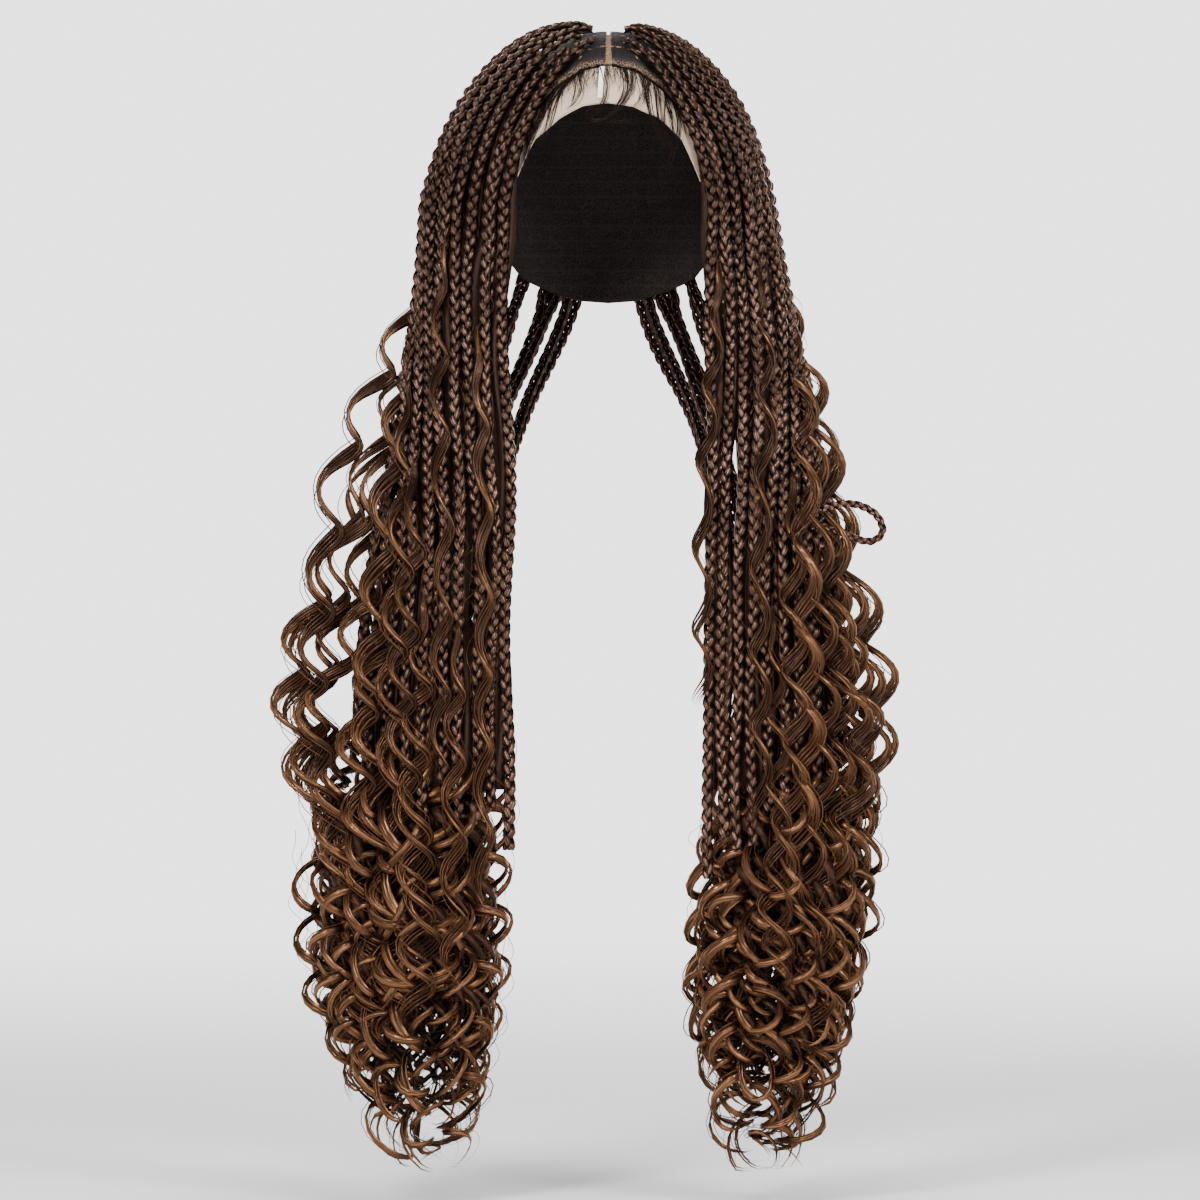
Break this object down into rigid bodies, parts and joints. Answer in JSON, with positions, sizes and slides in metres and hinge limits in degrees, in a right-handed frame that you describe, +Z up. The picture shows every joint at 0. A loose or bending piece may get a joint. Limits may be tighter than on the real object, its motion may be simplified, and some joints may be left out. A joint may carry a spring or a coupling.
{
  "type": "braid wig",
  "caption": "Lace-front wig with a centre parting and long box braids in two falls, loose wavy locks among them and curly ends",
  "frame": {"origin": "The top of the cap's hollow, where the crown of a head touches it", "axes": "+Z up, the front of the wig faces -Y, +X to the right of someone who looks at its front"},
  "size_m": [0.3574, 0.2195, 0.6887],
  "materials": {
    "cap_net": "dark stretch net cap",
    "lace": "fine pale tan net",
    "crown_hair": "near-black synthetic hair laid flat, soft sheen",
    "braid_hair": "plaited dark brown synthetic hair with lighter glints",
    "curl_hair": "glossy chestnut hair with caramel lights",
    "clear_plastic": "clear whitish plastic strip"
  },
  "bodies": {
    "root": {"braid_left_01": "braid_hair", "braid_left_02": "braid_hair", "braid_left_03": "braid_hair", "braid_left_04": "braid_hair", "braid_left_05": "braid_hair", "braid_left_06": "braid_hair", "braid_left_07": "braid_hair", "braid_left_08": "braid_hair", "braid_left_09": "braid_hair", "braid_left_10": "braid_hair", "braid_left_11": "braid_hair", "braid_left_12": "braid_hair", "braid_left_13": "braid_hair", "braid_left_14": "braid_hair", "braid_left_15": "braid_hair", "braid_left_16": "braid_hair", "braid_left_17": "braid_hair", "braid_loop_right": "braid_hair", "braid_right_01": "braid_hair", "braid_right_02": "braid_hair", "braid_right_03": "braid_hair", "braid_right_04": "braid_hair", "braid_right_05": "braid_hair", "braid_right_06": "braid_hair", "braid_right_07": "braid_hair", "braid_right_08": "braid_hair", "braid_right_09": "braid_hair", "braid_right_10": "braid_hair", "braid_right_11": "braid_hair", "braid_right_12": "braid_hair", "braid_right_13": "braid_hair", "braid_right_14": "braid_hair", "braid_right_15": "braid_hair", "braid_right_16": "braid_hair", "braid_right_17": "braid_hair", "cap": "cap_net", "crown_hair_left": "crown_hair", "crown_hair_right": "crown_hair", "curls_left": "curl_hair", "curls_right": "curl_hair", "front_strip": "clear_plastic", "lace_front": "lace", "wave_left_01": "curl_hair", "wave_left_02": "curl_hair", "wave_left_03": "curl_hair", "wave_right_01": "curl_hair", "wave_right_02": "curl_hair", "wave_right_03": "curl_hair"}
  },
  "joints": []
}
